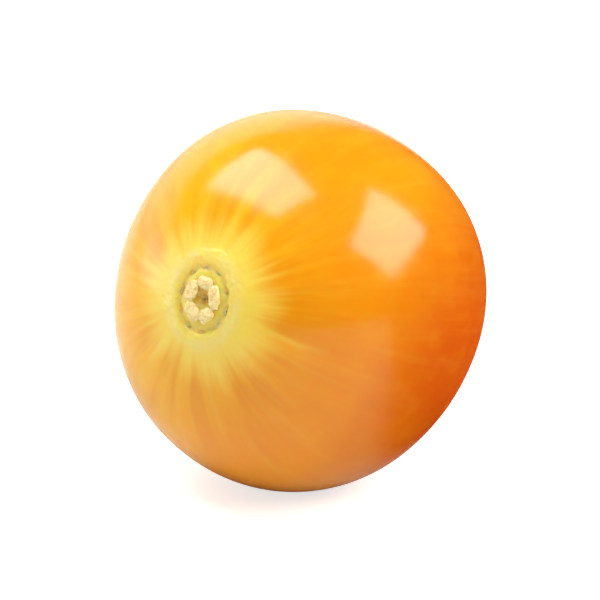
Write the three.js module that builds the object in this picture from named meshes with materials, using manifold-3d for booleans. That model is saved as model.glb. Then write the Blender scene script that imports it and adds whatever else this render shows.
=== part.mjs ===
// A ripe physalis berry with its papery husk taken off, lying on its side on a level surface.
// Millimetres, +Z up. The berry rests on z = 0 and its calyx scar, where the husk and the stalk
// sat, faces -Y and a little upwards. The style scar is at the far end, facing +Y.
//
// The skin is one closed surface. It is a lathe round the berry's own axis, swelled by a formula
// into soft shoulders, with the scars and the two seams raised and sunk in it by formula too.

import * as THREE from "three";
import { mergeVertices } from "three/addons/utils/BufferGeometryUtils.js";
import Module from "manifold-3d";

const { degToRad, smoothstep } = THREE.MathUtils;

// Driving dimensions of the fruit.
const EQUATOR_RADIUS = 9.7; // from the axis out to the widest skin
const CALYX_HALF = 8.68; // from the widest level to the calyx pole
const BLOSSOM_HALF = 8.9; // from the widest level to the blossom pole
const SCAR_TILT = degToRad(17); // how far the calyx pole points above level
const REST_FLAT_RADIUS = 2.3; // half width of the flat that the berry has settled onto

// Soft shoulders round the axis: how many, how high as a share of the radius, and turned how far.
const SHOULDERS = [
  { count: 2, height: 0.0156, turn: degToRad(58) },
  { count: 3, height: 0.0115, turn: degToRad(18) },
  { count: 4, height: 0.0097, turn: degToRad(28) },
];

// The calyx scar, from its middle outwards. Radii are measured out from the axis.
const STALK_PIT = { radius: 0.42, depth: 0.4 };
const CORK_PAD = { radius: 1.2, height: 0.1, edge: 0.4, lobes: 5, lobeDepth: 0.12 };
const STRAND_RING = { radius: 1.5, width: 0.2, depth: 0.08, strands: 10, strandDepth: 0.1 };
const COLLAR = { radius: 2.1, width: 0.45, height: 0.11 };
const COLLAR_GROOVE = { radius: 2.75, width: 0.24, depth: 0.03 };

// The two seams of the berry's halves run from the collar down opposite sides and fade out.
const SEAM = { turn: degToRad(-13), halfWidth: 0.5, depth: 0.06, start: 2.2, full: 3.4, end: 8.6 };

// The style scar: a small dry point in a shallow dimple at the blossom pole.
const STYLE_DIMPLE = { radius: 0.95, depth: 0.14 };
const STYLE_POINT = { radius: 0.28, height: 0.2 };

// Fineness of the surface.
const SEGMENTS = 70;
const SCAR_RINGS = 22;
const SCAR_REACH = degToRad(19);
const SKIN_RINGS = 23;
const STYLE_RINGS = 5;
const STYLE_REACH = degToRad(8);

const CUTTER_SIZE = 40; // side of the box that cuts the flat, larger than the berry

const SKIN_COLOUR = 0xf29a1b;
const SKIN_ROUGHNESS = 0.22;

const wasm = await Module();
wasm.setup();

/** A smooth swelling that is 1 at zero offset and has faded away two widths out. */
function swelling(offset, width) {
  return Math.exp(-((offset / width) ** 2));
}

/** Distance from the middle of the berry to a plain spheroid's skin at a polar angle. */
function plainRadius(polar) {
  const half = Math.cos(polar) > 0 ? CALYX_HALF : BLOSSOM_HALF;
  return 1 / Math.hypot(Math.sin(polar) / EQUATOR_RADIUS, Math.cos(polar) / half);
}

/** How far the soft shoulders carry the skin out, as a factor that is 1 at both poles. */
function shoulderFactor(polar, azimuth) {
  let factor = 1;
  for (const { count, height, turn } of SHOULDERS) {
    factor += height * Math.cos(count * (azimuth - turn)) * Math.sin(polar) ** count;
  }
  return factor;
}

/** Height of the calyx scar's relief, at a distance from the axis. */
function calyxRelief(distance, azimuth) {
  const lobedRadius = CORK_PAD.radius * (1 + CORK_PAD.lobeDepth * Math.cos(CORK_PAD.lobes * azimuth));
  const pad = CORK_PAD.height * (1 - smoothstep(distance, lobedRadius - CORK_PAD.edge, lobedRadius));
  const pit = STALK_PIT.depth * swelling(distance, STALK_PIT.radius);
  const onStrand = (0.5 + 0.5 * Math.cos(STRAND_RING.strands * azimuth)) ** 2;
  const ringDepth = STRAND_RING.depth + STRAND_RING.strandDepth * onStrand;
  const ring = ringDepth * swelling(distance - STRAND_RING.radius, STRAND_RING.width);
  const collar = COLLAR.height * swelling(distance - COLLAR.radius, COLLAR.width);
  const groove = COLLAR_GROOVE.depth * swelling(distance - COLLAR_GROOVE.radius, COLLAR_GROOVE.width);
  return pad - pit - ring + collar - groove;
}

/** Depth of the two opposite seams, which lie in one plane through the axis. */
function seamDepth(distance, azimuth) {
  const aside = distance * Math.sin(azimuth - SEAM.turn);
  const fadeIn = smoothstep(distance, SEAM.start, SEAM.full);
  const fadeOut = 1 - smoothstep(distance, SEAM.full, SEAM.end);
  return SEAM.depth * swelling(aside, SEAM.halfWidth) * fadeIn * fadeOut;
}

/** Height of the style scar's relief, at a distance from the axis. */
function styleRelief(distance) {
  const dimple = STYLE_DIMPLE.depth * swelling(distance, STYLE_DIMPLE.radius);
  return STYLE_POINT.height * swelling(distance, STYLE_POINT.radius) - dimple;
}

/** Polar angles of the lathe's rings, from the calyx pole to the blossom pole. */
function ringAngles() {
  const stretches = [
    { rings: SCAR_RINGS, end: SCAR_REACH },
    { rings: SKIN_RINGS, end: Math.PI - STYLE_REACH },
    { rings: STYLE_RINGS, end: Math.PI },
  ];
  const angles = [0];
  for (const { rings, end } of stretches) {
    const start = angles.at(-1);
    for (let ring = 1; ring <= rings; ring++) {
      angles.push(start + ((end - start) * ring) / rings);
    }
  }
  return angles;
}

/** The plain lathe: its axis along Z, calyx pole up, with one column of corners on each seam. */
function latheBody() {
  const profile = ringAngles().map((polar) => {
    const radius = plainRadius(polar);
    return new THREE.Vector2(radius * Math.sin(polar), radius * Math.cos(polar));
  });
  const body = new THREE.LatheGeometry(profile.reverse(), SEGMENTS);
  body.rotateX(Math.PI / 2);
  body.rotateZ(Math.PI / 2 + SEAM.turn);
  return body;
}

/** Moves each corner of the lathe out or in to the berry's real skin. */
function swellIntoBerry(body) {
  const corners = body.attributes.position;
  const corner = new THREE.Vector3();
  for (let i = 0; i < corners.count; i++) {
    corner.fromBufferAttribute(corners, i);
    const distance = Math.hypot(corner.x, corner.y);
    const polar = Math.atan2(distance, corner.z);
    const azimuth = Math.atan2(corner.y, corner.x);
    const scar = corner.z > 0 ? calyxRelief(distance, azimuth) : styleRelief(distance);
    const seam = corner.z > 0 ? seamDepth(distance, azimuth) : 0;
    const radius = corner.length() * shoulderFactor(polar, azimuth) + scar - seam;
    corner.setLength(radius);
    corners.setXYZ(i, corner.x, corner.y, corner.z);
  }
}

/** A closed geometry as a solid that can be cut. */
function solidOf(geometry) {
  const bare = geometry.clone();
  bare.deleteAttribute("normal");
  bare.deleteAttribute("uv");
  const merged = mergeVertices(bare);
  const mesh = new wasm.Mesh({
    numProp: 3,
    vertProperties: new Float32Array(merged.attributes.position.array),
    triVerts: new Uint32Array(merged.index.array),
  });
  return new wasm.Manifold(mesh);
}

/** A solid's surface as a geometry to draw. */
function geometryOf(solid) {
  const mesh = solid.getMesh();
  const geometry = new THREE.BufferGeometry();
  geometry.setAttribute("position", new THREE.BufferAttribute(mesh.vertProperties, mesh.numProp));
  geometry.setIndex(new THREE.BufferAttribute(mesh.triVerts, 1));
  geometry.computeVertexNormals();
  return geometry;
}

/** Cuts the small flat that the berry rests on, level with its lowest skin. */
function settle(body) {
  body.computeBoundingBox();
  const sunk = REST_FLAT_RADIUS ** 2 / (2 * EQUATOR_RADIUS);
  const flatLevel = body.boundingBox.min.z + sunk;
  const cutter = new THREE.BoxGeometry(CUTTER_SIZE, CUTTER_SIZE, CUTTER_SIZE);
  cutter.translate(0, 0, flatLevel - CUTTER_SIZE / 2);
  return geometryOf(solidOf(body).subtract(solidOf(cutter)));
}

/** Puts the origin under the middle of the berry's box, on the surface that it rests on. */
function standOnOrigin(geometry) {
  geometry.computeBoundingBox();
  const { min, max } = geometry.boundingBox;
  geometry.translate(-(min.x + max.x) / 2, -(min.y + max.y) / 2, -min.z);
}

function makeBerry() {
  const body = latheBody();
  swellIntoBerry(body);
  body.rotateX(Math.PI / 2 - SCAR_TILT);
  const skin = settle(body);
  standOnOrigin(skin);
  const material = new THREE.MeshStandardMaterial({
    color: SKIN_COLOUR,
    roughness: SKIN_ROUGHNESS,
    metalness: 0,
  });
  const berry = new THREE.Mesh(skin, material);
  berry.name = "berry";
  return berry;
}

const physalis = new THREE.Group();
physalis.add(makeBerry());

export default physalis;
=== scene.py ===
"""A ripe physalis berry with its husk taken off, lying on a pale table top.

The fruit is modelled upright in its own axes, in millimetres, with the calyx scar on top, and is
then laid down onto its flat, scar forwards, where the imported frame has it.
"""

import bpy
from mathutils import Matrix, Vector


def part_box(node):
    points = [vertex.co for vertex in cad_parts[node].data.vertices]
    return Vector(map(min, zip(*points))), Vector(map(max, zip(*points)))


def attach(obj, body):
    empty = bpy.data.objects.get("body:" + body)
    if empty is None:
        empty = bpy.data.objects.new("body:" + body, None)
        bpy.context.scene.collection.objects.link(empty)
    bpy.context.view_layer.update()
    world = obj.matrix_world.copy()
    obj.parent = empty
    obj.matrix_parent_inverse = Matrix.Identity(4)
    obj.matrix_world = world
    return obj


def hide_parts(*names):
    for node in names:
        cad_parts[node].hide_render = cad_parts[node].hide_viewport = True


bl_info = {
    "name": "Physalis Berry",
    "version": (1, 0, 0),
    "blender": (4, 5, 0),
    "location": "3D View > Sidebar > Physalis",
    "description": "Models a glossy husked physalis berry with its calyx scar and style scar",
    "category": "Object",
}

import math
import random

import bmesh
import bpy
from bpy.props import FloatProperty, FloatVectorProperty, PointerProperty
from mathutils import Euler, Matrix, Vector

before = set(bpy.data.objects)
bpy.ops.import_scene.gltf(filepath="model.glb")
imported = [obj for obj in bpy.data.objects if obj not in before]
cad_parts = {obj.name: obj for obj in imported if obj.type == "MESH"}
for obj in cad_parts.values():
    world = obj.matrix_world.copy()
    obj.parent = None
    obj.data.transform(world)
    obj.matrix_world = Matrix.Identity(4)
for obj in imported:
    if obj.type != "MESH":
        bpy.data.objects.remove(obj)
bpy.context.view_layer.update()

MM = 0.001
BODY = "root"
NODE = "berry"
SEED = 11

# The fruit's own axes in the frame: its middle, and how far its calyx pole points above level.
MIDDLE = Vector((-0.077, -0.068, 9.471)) * MM
SCAR_TILT = math.radians(17)
LIE = Euler((math.pi / 2 - SCAR_TILT, 0, 0))

# From here down to the room, lengths and places are in millimetres, in the fruit's own axes.

# The plain spheroid that the skin is wrapped from, and its cage. The cage's segments are a
# multiple of the ten strands and the five lobes.
EQUATOR_RADIUS = 9.7
CALYX_HALF = 8.68
BLOSSOM_HALF = 8.9
SEGMENTS = 60
RINGS = 36
STRANDS = 10
LOBES = 5
SEAM_TURN = math.radians(-13)
FLAT = Vector((0, -9.06, -2.77))  # the middle of the flat that the fruit rests on
MERGE_DISTANCE = 0.001
CAP_MIDDLE = 0.1  # within this of the axis, a cap's one flat face is told from the cage's
REGROWTH = 1.004  # makes good what evening and subdividing the wrapped sphere take off its size

# The skin round the scar: the ring that is evened after its insets, the part that is drawn a little
# taller and narrower, how softly that fades out, and the scar's roughness out to each radius.
EVENED_FROM = 2.35
EVENED_TO = 3.8
SCAR_RADIUS = 2.0
SCAR_SPREAD = (0.93, 1.08)
SCAR_FADE = 1.2
SCAR_GROUP = "scar"
SCAR_WEIGHTS = ((3.1, 0.2), (2.85, 0.45), (2.6, 0.7), (2.35, 1.0))

# The strand ends, and the small pits in the ring that they stand in.
STRAND_TURN = SEAM_TURN + math.radians(3)
STRAND_WIDTH = 0.2
STRAND_HEIGHT = 0.16
STRAND_DEPTH = 0.2  # from the plain skin down to a strand end's middle
PIT_HALF_WIDTH = 0.08

# The cork pad: its turn, its fineness, and half the angle of a lobe, a cleft and a cleft's bottom.
CORK_TURN = math.radians(20)
CORK_VOXEL = 0.022
LOBE_ANGLE = 0.4
CLEFT_ANGLE = 0.13
CLEFT_BOTTOM_ANGLE = 0.07
CLEFT_SIZE = 0.85

# The stalk stub broke off a little to one side, with its top this far under the plain skin.
STUB_PLACE = (0.1, 0.09)
STUB_RADIUS = 0.2
STUB_LENGTH = 0.3
STUB_TOP = 0.15

# The dimple round the style point, from its rim inwards: distance from the axis, and height over
# the plain skin. Then the style point itself.
STYLE_CAP = 1.8
STYLE_RELIEF = (
    (1.3, 0.0), (1.0, -0.03), (0.75, -0.07), (0.5, -0.11), (0.32, -0.13), (0.18, -0.15),
)
STYLE_RADIUS = 0.2
STYLE_LENGTH = 0.1
STYLE_TIP = 0.09  # how far the unshaped tip is under the plain skin

EDGE = 0.01  # leeway when a face is picked by its level

RIPE_AND_SHADED_SIDE = (0.82, -0.14, -0.55)  # the side where the skin is drawn deepest: partly its own ripeness, partly painted shade, with painted light on the opposite side
RAY_DRIFT = 0.16  # how fast the streaks change on their way out from the scar

# The room: a lit backdrop behind and to the left, brightest low down on the left, the rest dim and
# warm. Other fruit would lie behind and to the right, so the table top sends warm light from there,
# from a line a little in front of the fruit's middle backwards, and from another to the right.
BACKDROP_SIDE = (-0.985, 0.173, 0)
BACKDROP_EDGE = (-0.29, -0.2, 1.0)
BACKDROP_GLOW = 1.05
LEFT_SIDE = (-0.906, -0.423, 0)
LEFT_GLOW = 1.5
ROOM_GLOW = 0.12
ROOM_COLOUR = (1.0, 0.82, 0.66)
PILE_FRONT = (0.2, 0.98, 0)
PILE_LEFT = (0.9, 0.43, 0)
WHITE = (1.0, 1.0, 1.0)
WINDOW_TINT = (0.93, 1.0, 0.9)

# The table top lies just under the fruit and glows for the camera, fully from a way off.
FLOOR_DROP = 0.01 * MM
TABLE_GLOW = 0.7
FAR_TABLE_GLOW = 1.1

# Soft lights, in metres. The skin mirrors the two windows and not the other two.
SOFTBOXES = (
    dict(
        name="window_left", direction=(-0.399, -0.094, 0.912), upright=(0.396, 0.879, 0.265),
        distance=0.6, width=0.498, height=0.296, radiance=6.6, colour=WHITE, mirrored=True,
    ),
    dict(
        name="window_right", direction=(0.678, 0.161, 0.717), upright=(-0.417, 0.888, 0.194),
        distance=0.6, width=0.379, height=0.525, radiance=6.8, colour=WINDOW_TINT, mirrored=True,
    ),
    dict(
        name="front", direction=(0.459, -0.655, 0.6), upright=(0, 0, 1),
        distance=0.9, width=0.6, height=0.6, radiance=0.4, colour=WHITE, mirrored=False,
    ),
    dict(
        name="fill", direction=(-0.55, -0.8, 0.1), upright=(0, 0, 1),
        distance=0.9, width=0.5, height=0.5, radiance=1.0, colour=WHITE, mirrored=False,
    ),
)

NEAR_CLIP = 0.01
FAR_CLIP = 10.0


def srgb(red, green, blue):
    """A colour as picked on screen, from 0 to 255, as the linear values that shaders take."""
    def linear(value):
        share = value / 255
        return share / 12.92 if share <= 0.04045 else ((share + 0.055) / 1.055) ** 2.4
    return (linear(red), linear(green), linear(blue))


def colour_property(name, description, default):
    return FloatVectorProperty(
        name=name, description=description, subtype="COLOR", min=0, max=1, default=srgb(*default)
    )


class PhysalisFruitSettings(bpy.types.PropertyGroup):
    """Sizes and colours of the skin, in millimetres in the fruit's own axes."""

    cap_radius: FloatProperty(
        name="Scar field", description="Radius of the skin that is shaped by hand round the scar",
        default=3.2, min=2.8, max=4.0,
    )
    groove_radius: FloatProperty(
        name="Strand ring", description="Radius of the groove that the strand ends sit in",
        default=1.5, min=1.2, max=1.9,
    )
    collar_height: FloatProperty(
        name="Collar height", description="How far the pale collar stands above the skin",
        default=0.065, min=0.0, max=0.3,
    )
    scar_roughness: FloatProperty(
        name="Scar roughness", description="Height of the puckers in the skin round the scar",
        default=0.1, min=0.0, max=0.3,
    )
    unevenness: FloatProperty(
        name="Unevenness", description="Height of the slow chance swellings of the skin",
        default=0.07, min=0.0, max=0.3,
    )
    # The deep and the pale skin colours also serve as painted shade and painted light: one side of
    # the skin is drawn deeper and the other yellower.
    ripe: colour_property("Ripe skin", "Main colour of the ripe skin", (238, 151, 8))
    deep_and_shaded: colour_property("Deep skin", "Deeper orange of the riper side", (212, 96, 3))
    pale_and_lit: colour_property("Pale skin", "Yellower skin of the less ripe side", (248, 193, 20))
    streak: colour_property("Streaks", "Pale lines that run out from the scar", (248, 203, 70))
    halo: colour_property("Halo", "Yellow field round the scar", (250, 218, 94))
    collar: colour_property("Collar", "Pale raised collar round the scar", (246, 221, 132))
    pit: colour_property("Pit", "Golden tissue in and round the stalk pit", (244, 206, 88))
    groove: colour_property("Groove", "Greenish yellow floor of the strand ring", (232, 213, 112))


class PhysalisScarSettings(bpy.types.PropertyGroup):
    """Sizes and colours of the dry pieces in the scars."""

    pad_radius: FloatProperty(
        name="Cork pad radius", description="From the axis to the middle of the pad's lobes",
        default=0.79, min=0.5, max=1.1,
    )
    pad_width: FloatProperty(
        name="Cork pad width", description="Width of the pad's lobes, from the pit outwards",
        default=0.7, min=0.3, max=1.0,
    )
    pad_height: FloatProperty(
        name="Cork pad height", description="Thickness of the pad, half of it below the skin",
        default=0.3, min=0.1, max=0.6,
    )
    strand_length: FloatProperty(
        name="Strand end", description="Length round the ring of one strand end",
        default=0.34, min=0.1, max=0.6,
    )
    cork: colour_property("Cork", "Dry cream cork of the lobes", (255, 235, 172))
    cork_shadow: colour_property("Cork cracks", "Darker cork in the cracks", (240, 202, 130))
    strand: colour_property("Strand ends", "Pale olive ends of the strands", (224, 210, 142))
    strand_shadow: colour_property("Strand shade", "Darker olive of the strands", (184, 170, 106))
    stub: colour_property("Stalk stub", "Golden brown broken core of the stalk", (214, 170, 84))
    stub_shadow: colour_property("Stalk shade", "Darker brown of the stalk's core", (164, 120, 54))
    style: colour_property("Style point", "Brown dried point at the blossom end", (96, 62, 28))
    style_shadow: colour_property("Style shade", "Darkest brown of the style point", (48, 28, 14))


class PhysalisStageSettings(bpy.types.PropertyGroup):
    """Camera and floor."""

    azimuth: FloatProperty(
        name="Camera azimuth", description="Turn of the camera round the fruit",
        subtype="ANGLE", default=math.radians(35),
    )
    elevation: FloatProperty(
        name="Camera elevation", description="Height of the camera above level",
        subtype="ANGLE", default=math.radians(20),
    )
    distance: FloatProperty(
        name="Camera distance", description="From the camera to the middle of the fruit",
        subtype="DISTANCE", unit="LENGTH", default=0.3, min=0.05,
    )
    fill: FloatProperty(
        name="Fill", description="Share of the picture's width that the fruit takes",
        subtype="FACTOR", default=0.64, min=0.1, max=0.95,
    )
    floor_size: FloatProperty(
        name="Floor size", description="Side of the square floor",
        subtype="DISTANCE", unit="LENGTH", default=3.0, min=0.2,
    )
    floor_colour: colour_property("Floor", "Pale table top", (222, 221, 219))
    floor_grain: colour_property("Floor grain", "Faint grain of the table top", (202, 200, 196))
    pile_colour: colour_property("Warm side", "Bounce of the fruit's neighbours", (186, 76, 14))


# ---------------------------------------------------------------- helpers for modelling


def free_hands():
    """Leaves edit mode and deselects everything."""
    if bpy.context.mode != "OBJECT":
        bpy.ops.object.mode_set(mode="OBJECT")
    bpy.ops.object.select_all(action="DESELECT")


def take_up(piece):
    """Makes one object the only selected and active one."""
    free_hands()
    piece.select_set(True)
    bpy.context.view_layer.objects.active = piece


def settle_place():
    """Moves the taken-up object's place, turn and scale into its mesh."""
    bpy.ops.object.transform_apply(location=True, rotation=True, scale=True)


def open_edit(piece):
    """Takes a piece up and opens it in edit mode, all selected."""
    take_up(piece)
    bpy.ops.object.mode_set(mode="EDIT")
    bpy.ops.mesh.select_all(action="SELECT")


def close_edit():
    bpy.ops.object.mode_set(mode="OBJECT")


def name_new(name):
    """Names the object that was just added, and its mesh."""
    piece = bpy.context.object
    piece.name = name
    piece.data.name = name
    return piece


def middle_of(element):
    """Where a vertex or a face of an edit mesh lies."""
    if isinstance(element, bmesh.types.BMVert):
        return element.co
    return element.calc_center_median()


def pick(kind, passes):
    """In edit mode, selects only the VERT or FACE elements whose middle passes."""
    bpy.ops.mesh.select_mode(type=kind)
    bpy.ops.mesh.select_all(action="DESELECT")
    mesh = bpy.context.edit_object.data
    shape = bmesh.from_edit_mesh(mesh)
    for element in shape.verts if kind == "VERT" else shape.faces:
        if passes(middle_of(element)):
            element.select_set(True)
    shape.select_flush_mode()
    bmesh.update_edit_mesh(mesh)


def apply_modifier(piece, kind, **values):
    """Adds a modifier with these values and applies it."""
    take_up(piece)
    modifier = piece.modifiers.new(kind.title(), kind)
    for key, value in values.items():
        setattr(modifier, key, value)
    bpy.ops.object.modifier_apply(modifier=modifier.name)


def refine(piece, levels):
    apply_modifier(piece, "SUBSURF", levels=levels, render_levels=levels)


def roughen(piece, strength, grain, depth=2, group="", cracked=False):
    """Pushes the surface in and out by a noise of this grain, in millimetres: clouds or cracks."""
    texture = bpy.data.textures.new(piece.name + "_relief", "VORONOI" if cracked else "CLOUDS")
    texture.noise_scale = grain
    if cracked:
        texture.weight_1 = -1.0
        texture.weight_2 = 1.0
    else:
        texture.noise_depth = depth
    apply_modifier(
        piece, "DISPLACE", texture=texture, texture_coords="LOCAL", strength=strength,
        mid_level=0.5, vertex_group=group,
    )
    bpy.data.textures.remove(texture)


def smooth_shade(piece):
    take_up(piece)
    bpy.ops.object.shade_smooth()


def face_outwards(piece):
    open_edit(piece)
    bpy.ops.mesh.normals_make_consistent(inside=False)
    close_edit()


def lay_down(piece, spread=(1, 1)):
    """Carries a piece from the fruit's own axes, in millimetres, into the frame."""
    take_up(piece)
    scale = Vector((*spread, 1)) * MM
    piece.matrix_world = Matrix.LocRotScale(MIDDLE, LIE, scale) @ piece.matrix_world
    settle_place()


def declare(piece, material):
    """Gives a finished piece its one material, and says what it rides on."""
    piece.data.materials.clear()
    piece.data.materials.append(material)
    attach(piece, BODY)


def off_axis(point):
    """Distance of a point from the fruit's axis."""
    return math.hypot(point.x, point.y)


def skin_height(distance, half=CALYX_HALF):
    """Height of the plain skin above the fruit's middle, at a distance from the axis."""
    return half * math.sqrt(1 - (distance / EQUATOR_RADIUS) ** 2)


def around(index, count, distance, turn):
    """A point of a ring in the fruit's own axes."""
    angle = turn + 2 * math.pi * index / count
    return Vector((distance * math.cos(angle), distance * math.sin(angle), 0))


def more(dice, most):
    """A chance amount from 0 up to the most."""
    return most * dice.random()


def waver(dice, width):
    """A chance amount to either side of 0, within this width."""
    return width * (dice.random() - 0.5)


# ---------------------------------------------------------------- helpers for materials


class Nodes:
    """Builds the node tree of a material or of the world, a call to a node."""

    def __init__(self, owner):
        self.owner = owner
        owner.use_nodes = True
        self.tree = owner.node_tree
        self.tree.nodes.clear()

    def add(self, kind, values=None, **settings):
        """Adds a node, sets its settings and fills its sockets with numbers or links."""
        node = self.tree.nodes.new("ShaderNode" + kind)
        for key, value in settings.items():
            setattr(node, key, value)
        for socket, value in (values or {}).items():
            self.fill(node.inputs[socket], value)
        return node

    def fill(self, socket, value):
        if isinstance(value, bpy.types.NodeSocket):
            self.tree.links.new(value, socket)
        elif socket.type == "RGBA" and len(value) == 3:
            socket.default_value = (*value, 1)
        else:
            socket.default_value = value

    def math(self, operation, first, second=0.0, third=0.0):
        return self.add("Math", {0: first, 1: second, 2: third}, operation=operation).outputs[0]

    def times(self, first, second):
        return self.math("MULTIPLY", first, second)

    def vector(self, operation, first, second=(0, 0, 0)):
        """The vector that a Vector Math node gives."""
        return self.add("VectorMath", {0: first, 1: second}, operation=operation).outputs["Vector"]

    def measure(self, operation, first, second=(0, 0, 0)):
        """The number that a Vector Math node gives."""
        return self.add("VectorMath", {0: first, 1: second}, operation=operation).outputs["Value"]

    def ramp(self, value, start, end, low=0.0, high=1.0):
        """Runs smoothly from low to high as the value goes from start to end."""
        node = self.add(
            "MapRange",
            {"Value": value, "From Min": start, "From Max": end, "To Min": low, "To Max": high},
            interpolation_type="SMOOTHSTEP",
        )
        return node.outputs["Result"]

    def band(self, value, centre, width):
        """1 on the centre and 0 a width away on both sides, with soft flanks."""
        offset = self.math("ABSOLUTE", self.math("SUBTRACT", value, centre))
        return self.ramp(offset, 0.0, width, 1.0, 0.0)

    def noise(self, vector, scale, detail=2.0, roughness=0.5, distortion=0.0):
        node = self.add(
            "TexNoise",
            {"Vector": vector, "Scale": scale, "Detail": detail, "Roughness": roughness,
             "Distortion": distortion},
        )
        return node.outputs["Fac"]

    def stray(self, value, noise, width):
        """Carries a value up and down by a noise, all in all by about this width."""
        return self.math("MULTIPLY_ADD", self.math("SUBTRACT", noise, 0.5), width, value)

    def blend(self, share, under, over):
        """Mixes two colours."""
        node = self.add("Mix", data_type="RGBA", clamp_factor=True)
        self.fill(node.inputs[0], share)
        self.fill(node.inputs[6], under)
        self.fill(node.inputs[7], over)
        return node.outputs[2]

    def fruit_space(self):
        """Position in the fruit's own axes, in millimetres, with the calyx pole at +Z."""
        place = self.add("TexCoord").outputs["Object"]
        node = self.add("Mapping", {"Vector": place}, vector_type="TEXTURE")
        node.inputs["Location"].default_value = MIDDLE
        node.inputs["Rotation"].default_value = LIE
        node.inputs["Scale"].default_value = (MM, MM, MM)
        return node.outputs["Vector"]

    def finish(self, shader, output="OutputMaterial"):
        self.add(output, {"Surface": shader})
        return self.owner


class SkinNodes(Nodes):
    """The skin's nodes, with the places and the rays that its colours and its relief share."""

    def __init__(self, owner):
        super().__init__(owner)
        self.place = self.fruit_space()
        flat = self.vector("MULTIPLY", self.place, (1, 1, 0))
        self.outward = self.vector("NORMALIZE", flat)
        pole = (0, 0, CALYX_HALF)
        self.reach = self.measure("DISTANCE", self.place, pole)
        drawn_in = self.vector("DIVIDE", self.place, (*SCAR_SPREAD, 1))
        self.scar_reach = self.measure("DISTANCE", drawn_in, pole)
        self.drift = self.add("CombineXYZ", {"Z": self.times(self.reach, RAY_DRIFT)}).outputs[0]
        self.broad_rays = self.rays(2.2, 2.0, 0.5)
        self.middle_rays = self.rays(5.5, 2.0, 0.5)
        self.fine_rays = self.rays(11.0, 3.0, 0.6)
        self.mottle = self.noise(self.place, 0.7)

    def rays(self, count, detail, roughness):
        """Noise drawn out along lines that run away from the scar."""
        spread = self.vector("MULTIPLY", self.outward, (count, count, 0))
        return self.noise(self.vector("ADD", spread, self.drift), 1.0, detail, roughness)

    def ripe_and_shaded_skin(self, look):
        """Deeper on one side, yellower on the other, with slow uneven patches. The sides are partly
        the skin's own ripeness, partly painted shade on the deeper side and painted light on the
        yellower side.
        """
        patches = self.noise(self.place, 0.16, 3.0, 0.5, 0.4)
        # Painted shade and painted light: the skin is drawn deeper towards one side and yellower
        # towards the other, partly as its own ripeness.
        side = self.measure("DOT_PRODUCT", self.place, RIPE_AND_SHADED_SIDE)
        side = self.stray(side, patches, 6.0)
        skin = self.blend(self.ramp(side, 1.0, -9.0, 0.0, 0.75), look.ripe, look.pale_and_lit)
        skin = self.blend(self.ramp(side, 2.5, 9.5, 0.0, 0.95), skin, look.deep_and_shaded)
        skin = self.blend(self.ramp(self.reach, 3.5, 8.0, 0.4, 0.0), skin, look.pale_and_lit)
        return self.blend(self.ramp(self.mottle, 0.45, 0.8, 0.0, 0.1), skin, look.pale_and_lit)

    def streaks(self, skin, look):
        """Fine pale streaks and deeper ones between them, fainter with distance from the scar."""
        fading = self.ramp(self.reach, 2.6, 9.0, 0.34, 0.09)
        pale = self.times(self.ramp(self.fine_rays, 0.45, 0.75), fading)
        skin = self.blend(pale, skin, look.streak)
        fading = self.ramp(self.reach, 3.4, 9.0, 0.27, 0.1)
        between = self.times(self.ramp(self.middle_rays, 0.58, 0.34), fading)
        return self.blend(between, skin, look.deep_and_shaded)

    def seams(self, skin, look):
        """The two seams show as single pale lines."""
        aside = (-math.sin(SEAM_TURN), math.cos(SEAM_TURN), 0)
        across = self.measure("DOT_PRODUCT", self.place, aside)
        across = self.stray(across, self.noise(self.place, 0.5), 0.5)
        fading = self.ramp(self.reach, 4.0, 7.6, 0.8, 0.0)
        return self.blend(self.times(self.band(across, 0.0, 0.26), fading), skin, look.streak)

    def halo(self, skin, look):
        """Yellow halo with a ragged, rayed edge."""
        ragged = self.stray(self.reach, self.broad_rays, -1.5)
        ragged = self.stray(ragged, self.middle_rays, -1.5)
        ragged = self.stray(ragged, self.fine_rays, -0.8)
        return self.blend(self.ramp(ragged, 2.6, 4.9, 1.0, 0.0), skin, look.halo)

    def scar(self, skin, look):
        """Pale collar, and the greenish ring inside it that holds the strand ends."""
        collar = self.band(self.stray(self.scar_reach, self.fine_rays, 0.3), 2.1, 0.6)
        collar = self.times(collar, self.ramp(self.broad_rays, 0.3, 0.6, 0.35, 0.85))
        skin = self.blend(collar, skin, look.collar)
        skin = self.blend(self.ramp(self.scar_reach, 0.5, 1.3, 1.0, 0.0), skin, look.pit)
        uneven = self.ramp(self.noise(self.place, 2.4), 0.35, 0.6, 0.4, 1.0)
        ring = self.times(self.band(self.scar_reach, 1.5, 0.34), uneven)
        return self.blend(ring, skin, look.groove)

    def blossom_star(self, skin, look):
        """A paler star round the style point."""
        blossom = self.measure("DISTANCE", self.place, (0, 0, -BLOSSOM_HALF))
        star = self.stray(blossom, self.fine_rays, -0.8)
        return self.blend(self.ramp(star, 0.4, 1.7, 0.5, 0.0), skin, look.pale_and_lit)

    def fine_relief(self):
        """Relief too fine for the mesh: leathery grain, puckers, and ribs along the streaks."""
        grain = self.noise(self.place, 1.3, 3.0, 0.55)
        pores = self.noise(self.place, 7.0)
        ribs = self.times(self.fine_rays, self.ramp(self.reach, 2.0, 6.0, 1.0, 0.0))
        puckers = self.noise(self.place, 4.5, 3.0, 0.6)
        puckers = self.times(puckers, self.ramp(self.reach, 2.0, 3.6, 3.0, 0.0))
        relief = self.math("MULTIPLY_ADD", grain, 0.5, self.times(pores, 0.06))
        relief = self.math("MULTIPLY_ADD", ribs, 0.35, self.math("ADD", relief, puckers))
        return self.add("Bump", {"Height": relief, "Strength": 0.1, "Distance": 0.05 * MM})

    def gloss(self):
        """Roughness: a little uneven, and duller on the scar and its collar."""
        skin = self.ramp(self.mottle, 0.3, 0.75, 0.14, 0.2)
        return self.math("MAXIMUM", skin, self.ramp(self.reach, 1.8, 3.4, 0.265, 0.14))


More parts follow.
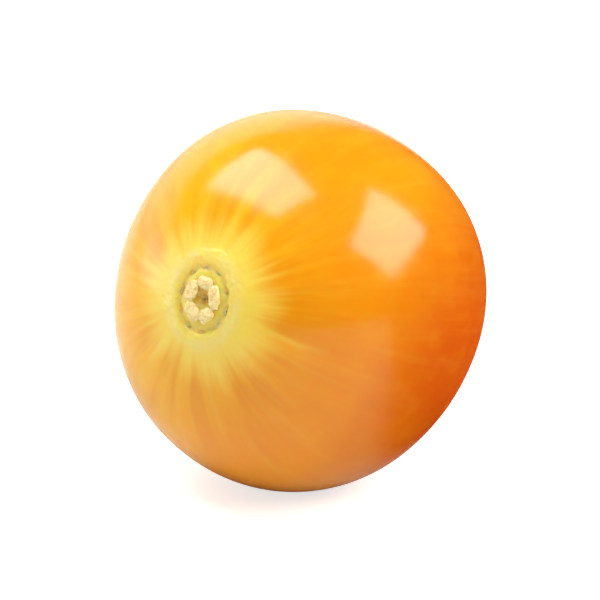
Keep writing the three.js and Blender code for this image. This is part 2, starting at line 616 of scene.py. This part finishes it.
def berry_skin(look):
    """Glossy translucent skin: ripe orange with painted shade on its deeper side and painted light
    on its yellower side, pale streaks, and the yellow halo round the scar.
    """
    n = SkinNodes(bpy.data.materials.new("ripe_and_shaded_skin"))
    skin = n.ripe_and_shaded_skin(look)
    for layer in (n.streaks, n.seams, n.halo, n.scar, n.blossom_star):
        skin = layer(skin, look)
    shader = n.add(
        "BsdfPrincipled",
        {
            "Base Color": skin,
            "Roughness": n.gloss(),
            "Normal": n.fine_relief().outputs[0],
            "IOR": 1.47,
            "Subsurface Weight": 0.8,
            "Subsurface Radius": (1.0, 0.42, 0.1),
            "Subsurface Scale": 2.2 * MM,
        },
    )
    return n.finish(shader.outputs[0])


def dry_material(name, light, dark, grain, roughness):
    """Dry plant tissue, mottled between a light and a dark colour."""
    n = Nodes(bpy.data.materials.new(name))
    place = n.fruit_space()
    flecks = n.noise(place, grain, 4.0, 0.65, 0.3)
    fibres = n.noise(n.vector("MULTIPLY", place, (1, 1, 0.3)), grain * 2.5)
    tone = n.math("MULTIPLY_ADD", fibres, 0.4, n.times(flecks, 0.6))
    shade = n.blend(n.ramp(tone, 0.38, 0.6, 1.0, 0.0), light, dark)
    bump = n.add("Bump", {"Height": tone, "Strength": 0.5, "Distance": 0.06 * MM})
    shader = n.add(
        "BsdfPrincipled",
        {
            "Base Color": shade,
            "Roughness": n.ramp(tone, 0.3, 0.7, roughness + 0.1, roughness - 0.1),
            "Normal": bump.outputs[0],
            "Subsurface Weight": 0.2,
            "Subsurface Radius": (1.0, 0.6, 0.3),
            "Subsurface Scale": 0.4 * MM,
        },
    )
    return n.finish(shader.outputs[0])


def floor_material(look):
    """Pale table top that glows for the camera and bounces warm light from behind on the right."""
    n = Nodes(bpy.data.materials.new("table_top"))
    place = n.add("TexCoord").outputs["Object"]
    grain = n.noise(place, 160.0, 3.0)
    tone = n.blend(n.ramp(grain, 0.3, 0.7, 0.0, 0.03), look.floor_colour, look.floor_grain)
    behind = n.ramp(n.measure("DOT_PRODUCT", place, PILE_FRONT), -3 * MM, 3 * MM)
    beside = n.ramp(n.measure("DOT_PRODUCT", place, PILE_LEFT), 2 * MM, 8 * MM)
    bounce = n.blend(n.times(behind, beside), tone, look.pile_colour)
    seen = n.add("LightPath").outputs["Is Camera Ray"]
    away = n.measure("LENGTH", place)
    glow = n.ramp(away, 25 * MM, 100 * MM, TABLE_GLOW, FAR_TABLE_GLOW)
    shader = n.add(
        "BsdfPrincipled",
        {
            "Base Color": n.blend(seen, bounce, tone),
            "Roughness": n.ramp(grain, 0.3, 0.7, 0.5, 0.58),
            "IOR": 1.4,
            "Emission Color": WHITE,
            "Emission Strength": n.times(seen, glow),
        },
    )
    return n.finish(shader.outputs[0])


# ---------------------------------------------------------------- pieces


class PHYSALIS_OT_fruit(bpy.types.Operator):
    """Model the fruit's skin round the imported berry, with its scars shaped into it"""

    bl_idname = "physalis.fruit"
    bl_label = "Fruit"

    def execute(self, context):
        settings = context.scene.physalis_fruit
        fruit = self.wrapped_sphere()
        self.shape_calyx_scar(fruit, settings)
        self.shape_style_dimple(fruit)
        refine(fruit, levels=2)
        roughen(fruit, settings.unevenness, grain=5.0, depth=1)
        roughen(fruit, settings.scar_roughness, grain=0.55, group=SCAR_GROUP)
        roughen(fruit, settings.scar_roughness * 0.6, grain=0.22, group=SCAR_GROUP)
        face_outwards(fruit)
        smooth_shade(fruit)
        lay_down(fruit)
        declare(fruit, berry_skin(settings))
        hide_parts(NODE)
        return {"FINISHED"}

    def guide(self):
        """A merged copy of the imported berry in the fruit's own axes, to wrap the skin onto."""
        guide = bpy.data.objects.new("guide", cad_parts[NODE].data.copy())
        bpy.context.collection.objects.link(guide)
        take_up(guide)
        upright = Matrix.LocRotScale(MIDDLE, LIE, Vector((MM, MM, MM))).inverted()
        guide.matrix_world = upright
        settle_place()
        open_edit(guide)
        bpy.ops.mesh.remove_doubles(threshold=MERGE_DISTANCE)
        close_edit()
        return guide

    def wrapped_sphere(self):
        """A sphere with its poles on the fruit's axis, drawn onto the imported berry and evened."""
        guide = self.guide()
        free_hands()
        bpy.ops.mesh.primitive_uv_sphere_add(
            segments=SEGMENTS, ring_count=RINGS, radius=BLOSSOM_HALF, rotation=(0, 0, SEAM_TURN)
        )
        fruit = name_new("fruit")
        settle_place()
        apply_modifier(
            fruit, "SHRINKWRAP", target=guide, wrap_method="PROJECT",
            use_negative_direction=True, use_positive_direction=True,
        )
        bpy.data.objects.remove(guide)
        open_edit(fruit)
        bpy.ops.mesh.vertices_smooth(factor=0.5, repeat=2)
        bpy.ops.transform.resize(value=(REGROWTH, REGROWTH, REGROWTH), center_override=FLAT)
        close_edit()
        return fruit

    def open_cap(self, radius, side):
        """Takes the faces round one pole off and closes the hole with one flat face."""
        pick("FACE", lambda at: at.z * side > 0 and off_axis(at) < radius)
        bpy.ops.mesh.delete(type="FACE")
        bpy.ops.mesh.select_mode(type="EDGE")
        bpy.ops.mesh.select_all(action="DESELECT")
        bpy.ops.mesh.select_non_manifold()
        bpy.ops.mesh.edge_face_add()
        pick("FACE", lambda at: at.z * side > 0 and off_axis(at) < CAP_MIDDLE)

    def inset_profile(self, relief, half, side):
        """Insets the cap from its rim inwards, and sets each inset at its relief on the skin."""
        shape = bmesh.from_edit_mesh(bpy.context.edit_object.data)
        face = next(face for face in shape.faces if face.select)
        radius = sum(off_axis(vert.co) for vert in face.verts) / len(face.verts)
        level = side * middle_of(face).z
        for next_radius, rise in relief:
            next_level = skin_height(next_radius, half) + rise
            bpy.ops.mesh.inset(
                thickness=radius - next_radius, depth=next_level - level, use_even_offset=True
            )
            radius = next_radius
            level = next_level
        bpy.ops.mesh.poke()

    def shape_calyx_scar(self, fruit, settings):
        ring = settings.groove_radius
        high = settings.collar_height
        relief = (
            (2.9, -0.02), (2.68, high * 0.1), (2.45, high * 0.45), (2.25, high * 0.8), (2.05, high),
            (1.85, high * 0.6), (ring + 0.2, 0.0), (ring + 0.1, -0.08), (ring - 0.02, -0.13),
            (ring - 0.14, -0.1), (ring - 0.26, -0.03), (1.0, 0.0), (0.7, -0.03), (0.5, -0.08),
            (0.4, -0.15), (0.28, -0.2), (0.14, -0.21),
        )
        open_edit(fruit)
        self.open_cap(settings.cap_radius, 1)
        self.inset_profile(relief, CALYX_HALF, 1)
        pick("VERT", lambda at: at.z > 0 and EVENED_FROM < off_axis(at) < EVENED_TO)
        bpy.ops.mesh.vertices_smooth(factor=0.5, repeat=3)
        self.sink_strand_pits(ring)
        pick("VERT", lambda at: at.z > 0 and off_axis(at) < SCAR_RADIUS)
        bpy.ops.transform.resize(
            value=(*SCAR_SPREAD, 1), center_override=(0, 0, CALYX_HALF), use_proportional_edit=True,
            proportional_edit_falloff="SMOOTH", proportional_size=SCAR_FADE,
        )
        self.mark_scar(fruit)
        close_edit()

    def mark_scar(self, fruit):
        """Weighs the skin for the scar's roughness."""
        fruit.vertex_groups.new(name=SCAR_GROUP)
        for radius, weight in SCAR_WEIGHTS:
            bpy.context.scene.tool_settings.vertex_group_weight = weight
            pick("VERT", lambda at: at.z > 0 and off_axis(at) < radius)
            bpy.ops.object.vertex_group_assign()

    def sink_strand_pits(self, ring):
        """Sinks a small pit for each strand end, no two alike."""
        dice = random.Random(SEED)
        for index in range(STRANDS):
            centre = around(index, STRANDS, ring, STRAND_TURN)
            half_length = 0.2 + more(dice, 0.06)
            pick("FACE", lambda at: (
                at.z > 0 and abs(off_axis(at) - ring + 0.02) < PIT_HALF_WIDTH
                and (Vector((at.x, at.y, 0)) - centre).length < half_length
            ))
            bpy.ops.mesh.inset(thickness=0.03, depth=-0.05 - more(dice, 0.05))

    def shape_style_dimple(self, fruit):
        open_edit(fruit)
        self.open_cap(STYLE_CAP, -1)
        self.inset_profile(STYLE_RELIEF, BLOSSOM_HALF, -1)
        close_edit()


class PHYSALIS_OT_cork(bpy.types.Operator):
    """Model the lobed pad of dry cork inside the strand ring"""

    bl_idname = "physalis.cork"
    bl_label = "Cork Pad"

    def execute(self, context):
        settings = context.scene.physalis_scar
        level = skin_height(settings.pad_radius)
        free_hands()
        bpy.ops.mesh.primitive_torus_add(
            major_radius=settings.pad_radius, minor_radius=settings.pad_width / 2,
            major_segments=90, minor_segments=18, location=(0, 0, level),
        )
        pad = name_new("cork_pad")
        settle_place()
        open_edit(pad)
        low = settings.pad_height / settings.pad_width
        bpy.ops.transform.resize(value=(1, 1, low), center_override=(0, 0, level))
        self.part_lobes(settings.pad_radius, level)
        close_edit()
        refine(pad, levels=1)
        apply_modifier(pad, "REMESH", mode="VOXEL", voxel_size=CORK_VOXEL)
        roughen(pad, 0.1, grain=0.3, depth=1)
        roughen(pad, 0.09, grain=0.2, cracked=True)
        roughen(pad, 0.03, grain=0.06)
        apply_modifier(pad, "SMOOTH", factor=0.5, iterations=2)
        smooth_shade(pad)
        lay_down(pad, SCAR_SPREAD)
        declare(pad, dry_material("dry_cork", settings.cork, settings.cork_shadow, 4.0, 0.7))
        return {"FINISHED"}

    def part_lobes(self, radius, level):
        """Swells the lobes and pinches the clefts between them, no two alike."""
        dice = random.Random(SEED + 1)
        for index in range(LOBES):
            lobe = 2 * math.pi * (index + waver(dice, 0.3)) / LOBES + CORK_TURN
            cleft = lobe + math.pi / LOBES
            lobe_size = 0.95 + more(dice, 0.3)
            bottom_size = 0.35 + more(dice, 0.4)
            for angle, half_angle, size in (
                (lobe, LOBE_ANGLE, lobe_size),
                (cleft, CLEFT_ANGLE, CLEFT_SIZE),
                (cleft, CLEFT_BOTTOM_ANGLE, bottom_size),
            ):
                centre = Vector((radius, 0, level))
                centre.rotate(Euler((0, 0, angle)))
                pick("VERT", lambda at: abs(at.xy.angle_signed(centre.xy)) < half_angle)
                bpy.ops.transform.resize(value=(size, size, size), center_override=centre)


class PHYSALIS_OT_strands(bpy.types.Operator):
    """Model the broken strand ends that stand in the ring round the cork"""

    bl_idname = "physalis.strands"
    bl_label = "Strand Ends"

    def execute(self, context):
        settings = context.scene.physalis_scar
        ring = context.scene.physalis_fruit.groove_radius
        dice = random.Random(SEED + 2)
        finish = dry_material("strand_end", settings.strand, settings.strand_shadow, 4.0, 0.6)
        first = self.strand_end(settings)
        for index in range(STRANDS):
            end = first.copy()
            end.data = first.data.copy()
            end.name = f"strand_{index + 1:02d}"
            end.data.name = end.name
            context.collection.objects.link(end)
            step = index + waver(dice, 0.35)
            angle = STRAND_TURN + 2 * math.pi * step / STRANDS
            distance = ring - 0.02 + waver(dice, 0.12)
            level = skin_height(distance) - STRAND_DEPTH
            size = 0.55 + more(dice, 0.6)
            length = size * (0.7 + more(dice, 0.6))
            end.matrix_world = (
                Matrix.Rotation(angle, 4, "Z") @ Matrix.Translation((distance, 0, level))
                @ Matrix.Diagonal((size, length, 1, 1))
            )
            take_up(end)
            settle_place()
            roughen(end, 0.05, grain=0.1)
            smooth_shade(end)
            lay_down(end, SCAR_SPREAD)
            declare(end, finish)
        bpy.data.objects.remove(first)
        return {"FINISHED"}

    def strand_end(self, settings):
        """A short oval stub with a torn, hollowed top."""
        free_hands()
        bpy.ops.mesh.primitive_cylinder_add(vertices=12, radius=0.5, depth=STRAND_HEIGHT)
        stub = name_new("strand_end")
        open_edit(stub)
        oval = (STRAND_WIDTH, settings.strand_length, 1)
        bpy.ops.transform.resize(value=oval, center_override=(0, 0, 0))
        pick("FACE", lambda at: at.z > STRAND_HEIGHT / 2 - EDGE)
        bpy.ops.mesh.inset(thickness=0.03, depth=0.03)
        bpy.ops.mesh.inset(thickness=0.02, depth=-0.04)
        close_edit()
        refine(stub, levels=1)
        face_outwards(stub)
        return stub


class PHYSALIS_OT_stalk_stub(bpy.types.Operator):
    """Model the broken core of the stalk in the middle of the scar"""

    bl_idname = "physalis.stalk_stub"
    bl_label = "Stalk Stub"

    def execute(self, context):
        settings = context.scene.physalis_scar
        top = CALYX_HALF - STUB_TOP
        free_hands()
        bpy.ops.mesh.primitive_cylinder_add(
            vertices=16, radius=STUB_RADIUS, depth=STUB_LENGTH,
            location=(*STUB_PLACE, top - STUB_LENGTH / 2),
        )
        stub = name_new("stalk_stub")
        settle_place()
        open_edit(stub)
        pick("FACE", lambda at: at.z > top - EDGE)
        bpy.ops.mesh.inset(thickness=0.05, depth=0.05)
        bpy.ops.mesh.inset(thickness=0.06, depth=-0.1)
        bpy.ops.mesh.inset(thickness=0.06, depth=0.04)
        bpy.ops.mesh.select_all(action="SELECT")
        bpy.ops.mesh.subdivide(number_cuts=1, smoothness=0.3)
        close_edit()
        refine(stub, levels=1)
        roughen(stub, 0.16, grain=0.14)
        face_outwards(stub)
        smooth_shade(stub)
        lay_down(stub)
        declare(stub, dry_material("stalk_core", settings.stub, settings.stub_shadow, 5.0, 0.65))
        return {"FINISHED"}


class PHYSALIS_OT_style_point(bpy.types.Operator):
    """Model the dried style point at the blossom end"""

    bl_idname = "physalis.style_point"
    bl_label = "Style Point"

    def execute(self, context):
        settings = context.scene.physalis_scar
        tip = -BLOSSOM_HALF + STYLE_TIP
        free_hands()
        bpy.ops.mesh.primitive_cylinder_add(
            vertices=14, radius=STYLE_RADIUS, depth=STYLE_LENGTH,
            location=(0, 0, tip + STYLE_LENGTH / 2),
        )
        point = name_new("style_point")
        settle_place()
        open_edit(point)
        pick("FACE", lambda at: at.z < tip + EDGE)
        bpy.ops.mesh.inset(thickness=0.07, depth=0.03)
        bpy.ops.mesh.inset(thickness=0.04, depth=0.06)
        bpy.ops.mesh.inset(thickness=0.03, depth=0.02)
        close_edit()
        refine(point, levels=2)
        roughen(point, 0.06, grain=0.1)
        face_outwards(point)
        smooth_shade(point)
        lay_down(point)
        declare(point, dry_material("style_tip", settings.style, settings.style_shadow, 5.0, 0.6))
        return {"FINISHED"}


# ---------------------------------------------------------------- stage


class PHYSALIS_OT_stage(bpy.types.Operator):
    """Set the floor, the soft studio lights and the camera"""

    bl_idname = "physalis.stage"
    bl_label = "Stage"

    def execute(self, context):
        settings = context.scene.physalis_stage
        self.lay_floor(settings)
        for softbox in SOFTBOXES:
            self.hang_softbox(**softbox)
        self.light_room(context.scene)
        self.place_camera(context.scene, settings)
        context.scene.view_settings.view_transform = "Standard"
        context.scene.view_settings.look = "None"
        return {"FINISHED"}

    def lay_floor(self, settings):
        free_hands()
        bpy.ops.mesh.primitive_plane_add(size=settings.floor_size, location=(0, 0, -FLOOR_DROP))
        floor = name_new("table_top")
        settle_place()
        floor.data.materials.append(floor_material(settings))

    def hang_softbox(
        self, name, direction, upright, distance, width, height, radiance, colour, mirrored
    ):
        """A rectangular soft light that faces the fruit and looks equally bright all over."""
        light = bpy.data.lights.new(name, "AREA")
        light.color = colour
        light.shape = "RECTANGLE"
        light.size = width
        light.size_y = height
        light.energy = radiance * math.pi * width * height
        box = bpy.data.objects.new(name, light)
        bpy.context.collection.objects.link(box)
        back = Vector(direction).normalized()
        side = Vector(upright).cross(back).normalized()
        turn = Matrix((side, back.cross(side), back)).transposed()
        box.matrix_world = Matrix.Translation(back * distance) @ turn.to_4x4()
        box.visible_glossy = mirrored

    def light_room(self, scene):
        """A dim warm room with one bright wall, and plain white where the camera sees it."""
        n = Nodes(bpy.data.worlds.new("room"))
        place = n.add("TexCoord").outputs["Generated"]
        height = n.add("SeparateXYZ", {0: place}).outputs["Z"]
        side = n.measure("DOT_PRODUCT", place, BACKDROP_SIDE)
        edge = n.measure("DOT_PRODUCT", place, BACKDROP_EDGE)
        backdrop = n.ramp(side, 0.52, 0.66, 0.0, BACKDROP_GLOW)
        backdrop = n.times(backdrop, n.ramp(edge, 0.6, 0.74, 1.0, 0.0))
        left = n.ramp(n.measure("DOT_PRODUCT", place, LEFT_SIDE), 0.85, 0.97, 0.0, LEFT_GLOW)
        glow = n.math("MULTIPLY_ADD", left, n.ramp(height, 0.1, 0.3, 1.0, 0.0), backdrop)
        dim = n.add("Background", {"Color": ROOM_COLOUR, "Strength": ROOM_GLOW}).outputs[0]
        bright = n.add("Background", {"Color": WHITE, "Strength": glow}).outputs[0]
        room = n.add("AddShader", {0: dim, 1: bright}).outputs[0]
        plain = n.add("Background", {"Color": WHITE, "Strength": 1.0}).outputs[0]
        seen = n.add("LightPath").outputs["Is Camera Ray"]
        shader = n.add("MixShader", {0: seen, 1: room, 2: plain}).outputs[0]
        scene.world = n.finish(shader, "OutputWorld")

    def place_camera(self, scene, settings):
        low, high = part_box(NODE)
        target = (Vector(low) + Vector(high)) / 2
        azimuth = settings.azimuth
        elevation = settings.elevation
        back = Vector((
            math.sin(azimuth) * math.cos(elevation),
            -math.cos(azimuth) * math.cos(elevation),
            math.sin(elevation),
        ))
        lens = bpy.data.cameras.new("camera")
        camera = bpy.data.objects.new("camera", lens)
        bpy.context.collection.objects.link(camera)
        camera.location = target + back * settings.distance
        camera.rotation_euler = back.to_track_quat("Z", "Y").to_euler()
        width = 2 * EQUATOR_RADIUS * MM / settings.fill
        lens.lens = lens.sensor_width * settings.distance / width
        lens.clip_start = NEAR_CLIP
        lens.clip_end = FAR_CLIP
        scene.camera = camera


class PHYSALIS_PT_panel(bpy.types.Panel):
    """Lists the settings and the steps of the physalis berry"""

    bl_idname = "PHYSALIS_PT_panel"
    bl_label = "Physalis Berry"
    bl_space_type = "VIEW_3D"
    bl_region_type = "UI"
    bl_category = "Physalis"

    def draw(self, context):
        layout = self.layout
        for owner in SETTINGS:
            box = layout.box()
            settings = getattr(context.scene, owner)
            for name in settings.bl_rna.properties.keys():
                if name not in ("rna_type", "name"):
                    box.prop(settings, name)
        for step in STEPS:
            layout.operator(step.bl_idname)


STEPS = (
    PHYSALIS_OT_fruit,
    PHYSALIS_OT_cork,
    PHYSALIS_OT_strands,
    PHYSALIS_OT_stalk_stub,
    PHYSALIS_OT_style_point,
    PHYSALIS_OT_stage,
)
SETTINGS = {
    "physalis_fruit": PhysalisFruitSettings,
    "physalis_scar": PhysalisScarSettings,
    "physalis_stage": PhysalisStageSettings,
}


def register():
    for group in SETTINGS.values():
        bpy.utils.register_class(group)
    for name, group in SETTINGS.items():
        setattr(bpy.types.Scene, name, PointerProperty(type=group))
    for step in (*STEPS, PHYSALIS_PT_panel):
        bpy.utils.register_class(step)


def unregister():
    for step in reversed((*STEPS, PHYSALIS_PT_panel)):
        bpy.utils.unregister_class(step)
    for name in SETTINGS:
        delattr(bpy.types.Scene, name)
    for group in reversed(SETTINGS.values()):
        bpy.utils.unregister_class(group)


def main():
    register()
    bpy.ops.physalis.fruit()
    bpy.ops.physalis.cork()
    bpy.ops.physalis.strands()
    bpy.ops.physalis.stalk_stub()
    bpy.ops.physalis.style_point()
    bpy.ops.physalis.stage()
    free_hands()


if __name__ == "__main__":
    main()
